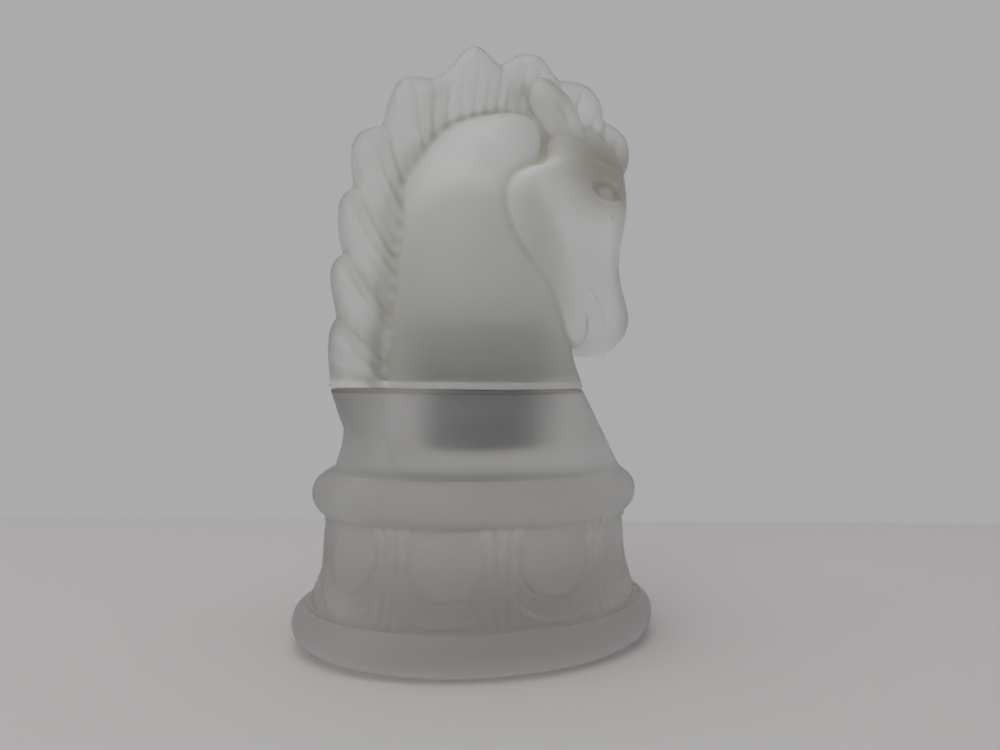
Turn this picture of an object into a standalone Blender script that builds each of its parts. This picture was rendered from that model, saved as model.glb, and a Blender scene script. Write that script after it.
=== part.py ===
"""Frosted glass candle light in the shape of a chess knight, in two loose glass parts.

A heavy oval base holds a metal candle cup in a moulded well, and a hollow horse's head
stands on the base as the shade. The head lifts straight off, and the cup lifts out of its
well. Units are metres, +Z is up, and the origin is the centre of the base's underside.
The horse looks along +X, and the glass is the same on both sides of the plane y = 0.
"""

import math

import bmesh
import bpy
from mathutils import Matrix, Vector

MM = 0.001

# Base: an oval foot, a waisted drum, a half-round ring and a chest that carries the head.
FLANGE_LENGTH = 109.0 * MM
OVAL_RATIO = 0.82  # width over length of every oval of the base
FLANGE_THICKNESS = 13.0 * MM
DRUM_FOOT_LENGTH = 97.2 * MM
DRUM_WAIST_LENGTH = 89.2 * MM
DRUM_WAIST_HEIGHT = 28.0 * MM
RING_LENGTH = 98.0 * MM
RING_BOTTOM = 36.5 * MM
RING_TOP = 49.6 * MM
SEAT_HEIGHT = 73.0 * MM
CHEST_FOOT_LENGTH = 82.0 * MM
CHEST_FOOT_SHIFT = 3.4 * MM
BASE_WALL = 5.0 * MM
UNDERSIDE_DEPTH = 46.0 * MM
UNDERSIDE_DRAFT = 3.0 * MM

# Candle: a drawn metal cup, filled with wax round a wick in a tin foot.
CUP_DIAMETER = 38.0 * MM
CUP_HEIGHT = 37.0 * MM
CUP_WALL = 0.8 * MM
CUP_LIP = 0.7 * MM
WAX_LEVEL = 32.0 * MM
WICK_DIAMETER = 1.8 * MM
WICK_TOP = 39.0 * MM
SUSTAINER_DIAMETER = 13.0 * MM
SUSTAINER_THICKNESS = 0.8 * MM
SUSTAINER_COLLAR = 4.0 * MM

# Fits between loose pieces.
TOUCH_GAP = 0.3 * MM
WELL_CLEARANCE = 0.7 * MM
WELL_DEPTH = 18.0 * MM
CANDLE_AIR = 3.1 * MM
RIM_CLEARANCE = 0.6 * MM
RIM_HEIGHT = 2.0 * MM
RIM_WALL = 1.6 * MM

# Head: the shade, drawn as a knight's head that bows over its chest.
HEAD_HEIGHT = 102.5 * MM
HEAD_LENGTH = 98.5 * MM
HEAD_WALL = 4.8 * MM
NECK_LENGTH = 66.6 * MM
NECK_SHIFT = -1.2 * MM
CAVITY_HEIGHT = 66.0 * MM
EAR_SPREAD = 11.5 * MM
MANE_EDGE = 4.0 * MM  # half-thickness along the mane's scalloped edge
MANE_ROOT = 12.0 * MM  # half-thickness where the mane leaves the neck

CUP_RADIUS = CUP_DIAMETER / 2
WELL_RADIUS = CUP_RADIUS + WELL_CLEARANCE
CAVITY_HALF_WIDTH = CUP_RADIUS + CUP_LIP + CANDLE_AIR
NECK_HALF_WIDTH = CAVITY_HALF_WIDTH + HEAD_WALL
NECK_HALF_LENGTH = NECK_LENGTH / 2

OVAL_SIDES = 48
ROUND_SIDES = 32


def clear_scene():
    for old in list(bpy.data.objects):
        bpy.data.objects.remove(old, do_unlink=True)


def add_object(name, mesh, location=(0, 0, 0)):
    obj = bpy.data.objects.new(name, mesh)
    obj.location = location
    bpy.context.collection.objects.link(obj)
    return obj


def mesh_from(name, bm):
    """Closes the bmesh's work: outward faces, round surfaces shaded smooth."""
    bmesh.ops.recalc_face_normals(bm, faces=bm.faces)
    mesh = bpy.data.meshes.new(name)
    bm.to_mesh(mesh)
    bm.free()
    mesh.shade_smooth()
    mesh.set_sharp_from_angle(angle=math.radians(40))
    return mesh


def make_material(obj, colour, roughness, metallic=0.0, transmission=0.0):
    material = bpy.data.materials.new(obj.name)
    material.use_nodes = True
    shader = material.node_tree.nodes["Principled BSDF"]
    shader.inputs["Base Color"].default_value = (*colour, 1)
    shader.inputs["Roughness"].default_value = roughness
    shader.inputs["Metallic"].default_value = metallic
    shader.inputs["Transmission Weight"].default_value = transmission
    obj.data.materials.append(material)


def add_boolean(obj, cutter, operation="DIFFERENCE"):
    """Joins or cuts obj with a helper that is left out of the finished object."""
    cutter.hide_render = True
    cutter.display_type = "WIRE"
    boolean = obj.modifiers.new(cutter.name, "BOOLEAN")
    boolean.operation = operation
    boolean.solver = "EXACT"
    boolean.object = cutter


def oval(height, half_length, half_width, shift=0.0, sides=OVAL_SIDES):
    """One horizontal oval, as a ring of points that runs anticlockwise from +X."""
    turns = (2 * math.pi * i / sides for i in range(sides))
    return [
        Vector((shift + half_length * math.cos(t), half_width * math.sin(t), height))
        for t in turns
    ]


def skin(bm, rings):
    """Closed skin over a stack of rings with equal counts, capped at both ends."""
    stack = [[bm.verts.new(point) for point in ring] for ring in rings]
    count = len(stack[0])
    for lower, upper in zip(stack, stack[1:]):
        for i in range(count):
            j = (i + 1) % count
            bm.faces.new((lower[i], lower[j], upper[j], upper[i]))
    bm.faces.new(list(reversed(stack[0])))
    bm.faces.new(stack[-1])


def turned(name, profile, sides=ROUND_SIDES):
    """Turns a closed profile of (radius, height) points round the Z axis."""
    bm = bmesh.new()
    rings = []
    for radius, height in profile:
        if radius == 0:
            rings.append([bm.verts.new((0, 0, height))])
            continue
        turns = (2 * math.pi * i / sides for i in range(sides))
        rings.append([
            bm.verts.new((radius * math.cos(t), radius * math.sin(t), height))
            for t in turns
        ])
    closed = profile[0][0] > 0
    pairs = list(zip(rings, rings[1:])) + ([(rings[-1], rings[0])] if closed else [])
    for first, second in pairs:
        for i in range(sides):
            j = (i + 1) % sides
            corners = [first[i % len(first)], first[j % len(first)]]
            corners += [second[j % len(second)], second[i % len(second)]]
            bm.faces.new(list(dict.fromkeys(corners)))
    return mesh_from(name, bm)


def half_round(bottom, top, outer_half_length, steps=8, end_angle=90):
    """(height, half-length) levels of a bead that bulges out to outer_half_length."""
    radius = (top - bottom) / 2
    for i in range(steps + 1):
        turn = math.radians(-90 + (90 + end_angle) * i / steps)
        level = outer_half_length - radius + radius * math.cos(turn)
        yield bottom + radius + radius * math.sin(turn), level


def drum_half_length(height):
    """The drum flares in a quarter of a cosine from its waist down to the flange."""
    span = DRUM_WAIST_HEIGHT - FLANGE_THICKNESS
    drop = min(1.0, max(0.0, (DRUM_WAIST_HEIGHT - height) / span))
    flare = (DRUM_FOOT_LENGTH - DRUM_WAIST_LENGTH) / 2
    return DRUM_WAIST_LENGTH / 2 + flare * (1 - math.cos(drop * math.pi / 2))


def chest_oval(height):
    """The chest narrows in a straight line from the ring up to the seat of the head."""
    rise = (height - RING_TOP) / (SEAT_HEIGHT - RING_TOP)
    foot_half = CHEST_FOOT_LENGTH / 2
    half_length = foot_half + (NECK_HALF_LENGTH - foot_half) * rise
    half_width = foot_half * OVAL_RATIO
    half_width += (NECK_HALF_WIDTH - half_width) * rise
    shift = CHEST_FOOT_SHIFT + (NECK_SHIFT - CHEST_FOOT_SHIFT) * rise
    return oval(height, half_length, half_width, shift)


def base_body():
    """Flange, drum, ring and chest as one stack of ovals."""
    levels = list(half_round(0, FLANGE_THICKNESS, FLANGE_LENGTH / 2, end_angle=80))
    drum_span = DRUM_WAIST_HEIGHT - FLANGE_THICKNESS
    drum_heights = [FLANGE_THICKNESS + drum_span * i / 4 for i in range(5)]
    levels += [(h, drum_half_length(h)) for h in drum_heights]
    ring = half_round(RING_BOTTOM, RING_TOP, RING_LENGTH / 2)
    waist = DRUM_WAIST_LENGTH / 2
    levels += [(h, max(level, waist)) for h, level in ring]
    rings = [oval(h, level, level * OVAL_RATIO) for h, level in levels]
    rings += [chest_oval(RING_TOP + TOUCH_GAP), chest_oval(SEAT_HEIGHT)]
    bm = bmesh.new()
    skin(bm, rings)
    return mesh_from("base_glass", bm)


MANE_STUB_LEVELS = (
    # height below the seat, reach behind the axis, half-thickness
    (29.0, 41.0, 19.0),
    (22.5, 42.9, 17.0),
    (16.0, 41.0, 14.5),
    (11.5, 40.6, 13.2),
    (6.5, 42.6, 12.4),
    (0.0, 44.8, 12.0),
)


def mane_stub():
    """The foot of the mane, which flares out of the chest's back onto the ring."""
    rings = []
    for drop, reach, half in MANE_STUB_LEVELS:
        centre = -NECK_HALF_LENGTH / 2
        length = reach * MM + centre
        rings.append(oval(SEAT_HEIGHT - drop * MM, length, half * MM, centre, 28))
    bm = bmesh.new()
    skin(bm, rings)
    return add_object("mane_stub", mesh_from("mane_stub", bm))


def underside_hollow():
    """The hollow that a plunger leaves in the foot, drafted so that it lets go."""
    half = DRUM_WAIST_LENGTH / 2 - BASE_WALL
    roof = UNDERSIDE_DEPTH
    fillet = 4 * MM
    levels = [(-1 * MM, half), (roof - fillet, half - UNDERSIDE_DRAFT)]
    for i in range(1, 4):
        turn = math.pi / 2 * i / 3
        inset = fillet * (1 - math.cos(turn))
        height = roof - fillet + fillet * math.sin(turn)
        levels.append((height, half - UNDERSIDE_DRAFT - inset))
    width_half = DRUM_WAIST_LENGTH / 2 * OVAL_RATIO - BASE_WALL
    narrower = half - width_half
    bm = bmesh.new()
    skin(bm, [oval(h, level, level - narrower) for h, level in levels])
    return add_object("underside_hollow", mesh_from("underside_hollow", bm))


def locating_rim():
    """A low oval rib round the well's mouth, which keeps the head from sliding off."""
    outer_length = NECK_HALF_LENGTH - HEAD_WALL - RIM_CLEARANCE
    outer_width = CAVITY_HALF_WIDTH - RIM_CLEARANCE
    bottom = SEAT_HEIGHT - RIM_HEIGHT
    top = SEAT_HEIGHT + RIM_HEIGHT
    bm = bmesh.new()
    skin(bm, [oval(h, outer_length, outer_width, NECK_SHIFT) for h in (bottom, top)])
    return add_object("locating_rim", mesh_from("locating_rim", bm))


def rim_dish():
    """The dished floor inside the rib, which leaves the rib standing as a wall."""
    length = NECK_HALF_LENGTH - HEAD_WALL - RIM_CLEARANCE - RIM_WALL
    width = CAVITY_HALF_WIDTH - RIM_CLEARANCE - RIM_WALL
    heights = (SEAT_HEIGHT, SEAT_HEIGHT + 2 * RIM_HEIGHT)
    bm = bmesh.new()
    skin(bm, [oval(h, length, width, NECK_SHIFT) for h in heights])
    return add_object("rim_dish", mesh_from("rim_dish", bm))


def candle_well():
    top = SEAT_HEIGHT + 3 * RIM_HEIGHT
    floor = SEAT_HEIGHT - WELL_DEPTH
    profile = [(0, floor), (WELL_RADIUS, floor), (WELL_RADIUS, top), (0, top)]
    return add_object("candle_well", turned("candle_well", profile, OVAL_SIDES))


def base_glass():
    base = add_object("base_glass", base_body())
    add_boolean(base, mane_stub(), "UNION")
    add_boolean(base, locating_rim(), "UNION")
    add_boolean(base, underside_hollow())
    add_boolean(base, rim_dish())
    add_boolean(base, candle_well())
    make_material(base, (0.62, 0.64, 0.62), 0.55, transmission=0.6)
    return base


# Head. Heights are millimetres above the seat, and lengths run along X from the axis.

NECK_LEVELS = (
    # height, centre, half-length as a share of the seat's, half-width likewise
    (-7.0, -1.0, 1.00, 1.00),
    (0.0, -1.0, 1.00, 1.00),
    (12.0, -3.2, 0.94, 0.97),
    (27.0, -2.6, 0.92, 0.95),
    (44.0, -2.6, 0.87, 0.89),
    (56.0, -3.1, 0.81, 0.80),
    (64.0, -3.4, 0.73, 0.69),
    (70.0, -3.6, 0.62, 0.58),
    (75.0, -2.6, 0.50, 0.44),
    (79.0, -1.0, 0.34, 0.28),
    (81.0, 0.0, 0.15, 0.12),
)

FACE_LEVELS = (
    # height, rear edge, half-width there, front edge, half-width there
    (9.6, 37.0, 7.0, 43.5, 4.5),
    (12.6, 25.0, 16.5, 47.0, 6.5),
    (16.5, 19.5, 20.6, 49.6, 8.0),
    (21.0, 18.0, 21.8, 50.0, 8.5),
    (26.0, 16.0, 22.4, 49.0, 8.5),
    (32.0, 12.0, 23.4, 47.0, 8.0),
    (39.0, 4.0, 24.6, 46.2, 8.0),
    (47.0, -1.5, 25.2, 47.0, 9.0),
    (54.0, -1.5, 25.2, 48.0, 10.0),
    (61.0, 2.5, 24.0, 47.6, 11.0),
    (67.0, 7.0, 22.0, 46.0, 10.5),
    (73.0, 12.0, 18.0, 43.0, 9.5),
    (78.0, 17.0, 13.0, 38.5, 8.0),
    (82.0, 23.0, 7.0, 33.0, 5.0),
)

MANE_VALLEYS = (
    (-46.0, 0.0), (-42.0, 20.6), (-41.0, 35.5), (-38.9, 54.6), (-30.0, 75.2),
    (-16.2, 90.6), (5.5, 97.0), (25.0, 95.4), (40.4, 84.0), (49.0, 69.0),
)
MANE_LOBES = (
    # tip (x, z), middle of the lock's root (x, z)
    ((-46.6, 13.0), (-20.0, -6.0)),
    ((-46.2, 29.5), (-20.0, 8.0)),
    ((-44.6, 49.5), (-20.0, 26.0)),
    ((-38.8, 73.0), (-17.0, 42.0)),
    ((-27.0, 90.0), (-12.0, 55.0)),
    ((-2.0, 102.5), (-5.0, 62.0)),
    ((18.5, 103.2), (8.0, 64.0)),
    ((35.5, 94.8), (20.0, 62.0)),
    ((49.3, 78.8), (32.0, 56.0)),
)

CAVITY_LEVELS = (
    # share of the hollow's height, shift, half-length and half-width over the opening's
    (-0.15, -1.0, 1.00, 1.00),
    (0.00, -1.0, 1.00, 1.00),
    (0.30, -1.8, 0.93, 0.97),
    (0.58, -2.2, 0.84, 0.91),
    (0.76, -2.4, 0.70, 0.74),
    (0.88, -2.4, 0.52, 0.54),
    (0.96, -2.2, 0.32, 0.33),
    (1.00, -2.0, 0.12, 0.12),
)

STRETCH_X = HEAD_LENGTH / (98.5 * MM)
STRETCH_Z = HEAD_HEIGHT / (102.5 * MM)


def sculpt_point(point):
    """A point of the plane y = 0, from millimetres along the head and above its seat."""
    x, z = point
    return Vector((x * MM * STRETCH_X, 0, z * MM * STRETCH_Z))


def neck(bm):
    rings = []
    for height, centre, length_share, width_share in NECK_LEVELS:
        rings.append(oval(
            height * MM * STRETCH_Z,
            NECK_HALF_LENGTH * length_share,
            NECK_HALF_WIDTH * width_share,
            centre * MM,
            sides=40,
        ))
    skin(bm, rings)


def face_ring(level, sides=28, squareness=4.5):
    """Plan of the head at one height: broad at the jaw, narrow along the nose."""
    height, rear, rear_half, front, front_half = level
    ring = []
    for i in range(sides):
        turn = 2 * math.pi * i / sides
        along, across = math.cos(turn), math.sin(turn)
        share = math.copysign(abs(along) ** (2 / squareness), along)
        forward = (1 + share) / 2
        taper = forward * forward * (3 - 2 * forward)
        half = rear_half + (front_half - rear_half) * taper
        x = rear + (front - rear) * forward
        y = half * math.copysign(abs(across) ** (2 / squareness), across)
        ring.append(Vector((x * MM * STRETCH_X, y * MM, height * MM * STRETCH_Z)))
    return ring


def lobe_edge(start, tip, end, steps=4):
    """Edge of one lock from valley to valley: two quarter-ellipses that meet at its tip."""
    chord = (end - start).normalized()
    points = []
    for foot, turns in ((start, range(steps)), (end, range(steps, 0, -1))):
        run = chord * (tip - foot).dot(chord)
        rise = (tip - foot) - run
        for i in turns:
            turn = math.pi / 2 * i / steps
            points.append(foot + run * (1 - math.cos(turn)) + rise * math.sin(turn))
    return points


def mane_section(root, edge, sides=16):
    """Leaf-shaped section of the mane, thick at the neck and thin at its edge."""
    out = edge - root
    ring = []
    for i in range(sides):
        turn = 2 * math.pi * i / sides
        share = (1 + math.cos(turn)) / 2
        half = MANE_ROOT + (MANE_EDGE - MANE_ROOT) * share
        across = math.copysign(abs(math.sin(turn)) ** 0.6, math.sin(turn))
        ring.append(root + out * share + Vector((0, half * across, 0)))
    return ring


def mane(bm):
    """The crest of locks, skinned over sections that fan out from the neck."""
    valleys = [sculpt_point(point) for point in MANE_VALLEYS]
    tips = [sculpt_point(tip) for tip, _ in MANE_LOBES]
    roots = [sculpt_point(root) for _, root in MANE_LOBES]
    edges, feet = [], []
    for k, (start, tip, end) in enumerate(zip(valleys, tips, valleys[1:])):
        lobe = lobe_edge(start, tip, end)
        before = (roots[max(k - 1, 0)] + roots[k]) / 2
        after = (roots[k] + roots[min(k + 1, len(roots) - 1)]) / 2
        edges += lobe
        feet += [before.lerp(after, i / len(lobe)) for i in range(len(lobe))]
    below = Vector((0, 0, -8 * MM))
    rings = [mane_section(feet[0] + below, edges[0] + below)]
    rings += [mane_section(foot, edge) for foot, edge in zip(feet, edges)]
    skin(bm, rings)


def ear(bm, side):
    """A pricked ear, laid back against the mane."""
    lean = Matrix.Rotation(math.radians(-22), 4, "Y")
    centre = Vector((19 * MM * STRETCH_X, side * EAR_SPREAD, 82 * MM * STRETCH_Z))
    radii = Matrix.Diagonal((6 * MM, 4.5 * MM, 12 * MM, 1))
    place = Matrix.Translation(centre) @ lean @ radii
    bmesh.ops.create_icosphere(bm, subdivisions=3, radius=1, matrix=place)


def head_cavity():
    """The hollow over the flame, open below and domed at the top."""
    half_length = NECK_HALF_LENGTH - HEAD_WALL
    rings = []
    for share, centre, length_share, width_share in CAVITY_LEVELS:
        height = TOUCH_GAP + share * CAVITY_HEIGHT
        length = half_length * length_share
        width = CAVITY_HALF_WIDTH * width_share
        rings.append(oval(height, length, width, centre * MM, sides=40))
    bm = bmesh.new()
    skin(bm, rings)
    mesh = mesh_from("head_cavity", bm)
    return add_object("head_cavity", mesh, (0, 0, SEAT_HEIGHT))


def seat_cut():
    """Everything below the seat, which squares off the head's foot."""
    bm = bmesh.new()
    size = Matrix.Diagonal((2 * FLANGE_LENGTH, 2 * FLANGE_LENGTH, SEAT_HEIGHT, 1))
    bmesh.ops.create_cube(bm, size=1, matrix=size)
    top = TOUCH_GAP - SEAT_HEIGHT / 2
    mesh = mesh_from("seat_cut", bm)
    return add_object("seat_cut", mesh, (0, 0, SEAT_HEIGHT + top))


def horse_head_shade():
    """Neck, face, ears and mane, run together as one pressed glass shell."""
    bm = bmesh.new()
    neck(bm)
    skin(bm, [face_ring(level) for level in FACE_LEVELS])
    mane(bm)
    for side in (-1, 1):
        ear(bm, side)
    mesh = mesh_from("horse_head_shade", bm)
    head = add_object("horse_head_shade", mesh, (0, 0, SEAT_HEIGHT))
    merge = head.modifiers.new("run_together", "REMESH")
    merge.mode = "VOXEL"
    merge.voxel_size = 1.4 * MM
    soften = head.modifiers.new("fire_polish", "SMOOTH")
    soften.factor = 0.5
    soften.iterations = 3
    thin = head.modifiers.new("facets", "DECIMATE")
    thin.ratio = 0.16
    add_boolean(head, seat_cut())
    add_boolean(head, head_cavity())
    make_material(head, (0.66, 0.68, 0.66), 0.5, transmission=0.6)
    return head


# Candle. Heights are measured from the underside of the cup.


def candle_cup(place):
    lip_radius = CUP_RADIUS + CUP_LIP
    inner = CUP_RADIUS - CUP_WALL
    corner = 1.5 * MM
    profile = [
        (0, 0),
        (CUP_RADIUS - corner, 0),
        (CUP_RADIUS, corner),
        (CUP_RADIUS, CUP_HEIGHT - 2 * CUP_LIP),
        (lip_radius, CUP_HEIGHT - 1.5 * CUP_LIP),
        (lip_radius, CUP_HEIGHT - 0.5 * CUP_LIP),
        (CUP_RADIUS, CUP_HEIGHT),
        (inner, CUP_HEIGHT),
        (inner, CUP_WALL),
        (0, CUP_WALL),
    ]
    cup = add_object("candle_cup", turned("candle_cup", profile, OVAL_SIDES), place)
    make_material(cup, (0.55, 0.56, 0.58), 0.35, metallic=1.0)
    return cup


def wick_sustainer(place):
    """The tin foot that holds the wick upright on the cup's floor."""
    floor = CUP_WALL + TOUCH_GAP
    bore = WICK_DIAMETER / 2 + TOUCH_GAP
    collar = bore + 0.6 * MM
    plate = SUSTAINER_DIAMETER / 2
    profile = [
        (bore, floor),
        (plate, floor),
        (plate, floor + SUSTAINER_THICKNESS),
        (collar, floor + SUSTAINER_THICKNESS),
        (collar, floor + SUSTAINER_COLLAR),
        (bore, floor + SUSTAINER_COLLAR),
    ]
    mesh = turned("wick_sustainer", profile, sides=20)
    sustainer = add_object("wick_sustainer", mesh, place)
    make_material(sustainer, (0.6, 0.6, 0.6), 0.4, metallic=1.0)
    return sustainer


def candle_wax(place):
    """The fill of the cup, moulded round the sustainer and the wick."""
    outer = CUP_RADIUS - CUP_WALL - TOUCH_GAP
    floor = CUP_WALL + TOUCH_GAP
    bore = WICK_DIAMETER / 2 + TOUCH_GAP
    plate = SUSTAINER_DIAMETER / 2 + TOUCH_GAP
    collar = bore + 0.6 * MM + TOUCH_GAP
    plate_top = floor + SUSTAINER_THICKNESS + TOUCH_GAP
    collar_top = floor + SUSTAINER_COLLAR + TOUCH_GAP
    profile = [
        (plate, floor),
        (outer, floor),
        (outer, WAX_LEVEL),
        (bore, WAX_LEVEL),
        (bore, collar_top),
        (collar, collar_top),
        (collar, plate_top),
        (plate, plate_top),
    ]
    wax = add_object("candle_wax", turned("candle_wax", profile, OVAL_SIDES), place)
    make_material(wax, (0.8, 0.77, 0.7), 0.4)
    return wax


def candle_wick(place):
    radius = WICK_DIAMETER / 2
    foot = CUP_WALL + TOUCH_GAP
    profile = [
        (0, foot),
        (radius, foot),
        (radius, WICK_TOP - radius),
        (radius * 0.6, WICK_TOP),
        (0, WICK_TOP),
    ]
    wick = add_object("candle_wick", turned("candle_wick", profile, sides=12), place)
    make_material(wick, (0.75, 0.72, 0.66), 0.9)
    return wick


def candle():
    """The cup and its fill hang together on one empty, at the well's floor."""
    lift = add_object("candle_lift_axis", None)
    lift.location.z = SEAT_HEIGHT - WELL_DEPTH + TOUCH_GAP
    for make in (candle_cup, wick_sustainer, candle_wax, candle_wick):
        make((0, 0, 0)).parent = lift


clear_scene()
base_glass()
horse_head_shade()
candle()
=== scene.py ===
"""Frosted glass candle light in the shape of a chess knight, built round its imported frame.

The light has a heavy oval base, a hollow horse's head that stands loose on it as the shade,
and a metal candle cup that drops into a well in the base.
"""

import math

import bmesh
import bpy
import numpy as np
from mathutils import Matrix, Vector


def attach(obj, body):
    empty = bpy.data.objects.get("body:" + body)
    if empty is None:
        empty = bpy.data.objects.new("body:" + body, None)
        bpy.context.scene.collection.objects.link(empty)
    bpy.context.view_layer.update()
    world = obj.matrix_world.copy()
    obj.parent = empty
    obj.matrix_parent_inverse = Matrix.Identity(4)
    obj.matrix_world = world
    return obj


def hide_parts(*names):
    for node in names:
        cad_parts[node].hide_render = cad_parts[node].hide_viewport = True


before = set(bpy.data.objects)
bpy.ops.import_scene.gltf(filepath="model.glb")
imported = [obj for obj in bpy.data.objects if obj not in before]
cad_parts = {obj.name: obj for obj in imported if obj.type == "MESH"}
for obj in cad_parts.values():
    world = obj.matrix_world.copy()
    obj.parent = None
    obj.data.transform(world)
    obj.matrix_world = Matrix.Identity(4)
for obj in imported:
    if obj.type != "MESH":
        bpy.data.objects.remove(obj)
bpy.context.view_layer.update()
bpy.ops.object.select_all(action="DESELECT")


# Base: one heavy pressing of clear glass, etched satin all over. An oval foot carries a waisted
# drum with a moulded frieze, a half-round ring and the horse's chest, which ends in a flat seat.
# The foot is hollow below, and the seat has a locating rim round the candle's well.
MM = 0.001
OVAL_RATIO = 0.82
SEAT_HEIGHT = 73.0
FLANGE_HALF, FLANGE_THICKNESS = 54.5, 13.0
DRUM_FOOT_HALF, DRUM_WAIST_HALF, DRUM_WAIST_HEIGHT = 48.6, 44.6, 28.0
RING_HALF, RING_BOTTOM, RING_TOP = 49.0, 36.5, 49.6
CHEST_FOOT_HALF, CHEST_FOOT_SHIFT = 41.0, 3.4
NECK_HALF_LENGTH, NECK_HALF_WIDTH, NECK_SHIFT = 33.3, 27.6, -1.2
SEAT_EDGE = 0.5
FLANGE_GROOVE = (
    # drop below the flange's top, and reach outside the drum's foot
    (1.3, 1.8), (1.8, 1.0), (1.8, 0.4), (0.9, 0.0),
)
FLARE_STEPS = 12


def drawn_up(name, levels, sides, hollow=False):
    """A round drawn up by extruding: levels are (height, half-length, half-width, shift) in mm.

    A hollow round is extruded back to its first loop and joined there, so that it has a bore.
    """
    height, half_length, half_width, shift = levels[0]
    fill = "NOTHING" if hollow else "NGON"
    bpy.ops.mesh.primitive_circle_add(vertices=sides, radius=MM, fill_type=fill)
    piece = bpy.context.object
    piece.name = name
    bpy.ops.object.mode_set(mode="EDIT")
    bpy.ops.transform.resize(value=(half_length, half_width, 1))
    bpy.ops.transform.translate(value=(shift * MM, 0, height * MM))
    for z, length, width, x in levels[1:]:
        step = {"value": ((x - shift) * MM, 0, (z - height) * MM)}
        bpy.ops.mesh.extrude_region_move(TRANSFORM_OT_translate=step)
        grow = (length / half_length, width / half_width, 1)
        bpy.ops.transform.resize(value=grow, center_override=(x * MM, 0, z * MM))
        height, half_length, half_width, shift = z, length, width, x
    bpy.ops.mesh.select_all(action="SELECT")
    bpy.ops.mesh.remove_doubles(threshold=1e-6)
    bpy.ops.mesh.normals_make_consistent(inside=False)
    bpy.ops.object.mode_set(mode="OBJECT")
    return piece


def smooth_rows(table, steps):
    """The rows of a size table, with smooth rows drawn in between each pair."""
    rows = [Vector(row) for row in table]
    drawn = []
    for i in range(len(rows) - 1):
        before, here = rows[max(i - 1, 0)], rows[i]
        there, after = rows[i + 1], rows[min(i + 2, len(rows) - 1)]
        for k in range(steps):
            t = k / steps
            drawn.append(0.5 * (
                2 * here + (there - before) * t
                + (2 * before - 5 * here + 4 * there - after) * t ** 2
                + (3 * here - before - 3 * there + after) * t ** 3
            ))
    return drawn + [rows[-1]]


def join(name, pieces):
    """One object of several, with each in its place."""
    bpy.ops.object.select_all(action="DESELECT")
    for piece in pieces:
        piece.select_set(True)
    bpy.context.view_layer.objects.active = pieces[0]
    bpy.ops.object.join()
    bpy.ops.object.transform_apply(location=True, rotation=True, scale=True)
    pieces[0].name = name
    return pieces[0]


def finish_with(piece, kind, **settings):
    """Adds one modifier and applies it."""
    bpy.ops.object.select_all(action="DESELECT")
    piece.select_set(True)
    bpy.context.view_layer.objects.active = piece
    modifier = piece.modifiers.new(kind.lower(), kind)
    for key, value in settings.items():
        setattr(modifier, key, value)
    bpy.ops.object.modifier_apply(modifier=modifier.name)


def cut(piece, tools):
    """Cuts each tool's shape out of the piece and clears the tools away."""
    for tool in tools:
        finish_with(piece, "BOOLEAN", operation="DIFFERENCE", solver="EXACT", object=tool)
        bpy.data.objects.remove(tool, do_unlink=True)


def ball(name, centre, radii, lean=0.0, yaw=0.0, segments=32):
    """An ellipsoid in mm, leaned about the Y axis and then turned about Z, in degrees."""
    bpy.ops.mesh.primitive_uv_sphere_add(segments=segments, ring_count=segments // 2, radius=MM)
    piece = bpy.context.object
    piece.name = name
    piece.scale = radii
    piece.rotation_euler = (0, math.radians(lean), math.radians(yaw))
    piece.location = Vector(centre) * MM
    bpy.ops.object.transform_apply(location=True, rotation=True, scale=True)
    return piece


def drum_half(height):
    """Half-length of the drum, which flares in a quarter wave down to the flange."""
    drop = (DRUM_WAIST_HEIGHT - height) / (DRUM_WAIST_HEIGHT - FLANGE_THICKNESS)
    flare = 1 - math.cos(min(1, max(0, drop)) * math.pi / 2)
    return DRUM_WAIST_HALF + (DRUM_FOOT_HALF - DRUM_WAIST_HALF) * flare


def chest_level(height, less=0.0):
    """The chest narrows in a straight line from the ring up to the seat."""
    rise = (height - RING_TOP) / (SEAT_HEIGHT - RING_TOP)
    length = CHEST_FOOT_HALF + (NECK_HALF_LENGTH - CHEST_FOOT_HALF) * rise
    width = CHEST_FOOT_HALF * OVAL_RATIO
    width += (NECK_HALF_WIDTH - width) * rise
    shift = CHEST_FOOT_SHIFT + (NECK_SHIFT - CHEST_FOOT_SHIFT) * rise
    return (height, length - less, width - less, shift)


def bead(bottom, top, half, first, last, steps=16):
    """Levels of a half-round bead that bulges out to half, between two angles."""
    radius = (top - bottom) / 2
    for i in range(steps + 1):
        turn = math.radians(first + (last - first) * i / steps)
        level = half - radius + radius * math.cos(turn)
        yield bottom + radius + radius * math.sin(turn), level


def base_stack():
    profile = list(bead(0, FLANGE_THICKNESS, FLANGE_HALF, -90, 60))
    profile += [(FLANGE_THICKNESS - drop, DRUM_FOOT_HALF + out) for drop, out in FLANGE_GROOVE]
    span = DRUM_WAIST_HEIGHT - FLANGE_THICKNESS
    profile += [
        (FLANGE_THICKNESS + span * i / FLARE_STEPS, None) for i in range(FLARE_STEPS + 1)
    ]
    profile = [(z, drum_half(z) if half is None else half) for z, half in profile]
    ring = bead(RING_BOTTOM, RING_TOP, RING_HALF, -90, 90)
    profile += [(z, max(half, DRUM_WAIST_HALF)) for z, half in ring]
    levels = [(z, half, half * OVAL_RATIO, 0) for z, half in profile]
    levels.append(chest_level(RING_TOP + 0.3))
    levels.append(chest_level(SEAT_HEIGHT - SEAT_EDGE))
    levels.append(chest_level(SEAT_HEIGHT, SEAT_EDGE))
    return drawn_up("base_glass_etched", levels, 160)


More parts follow.
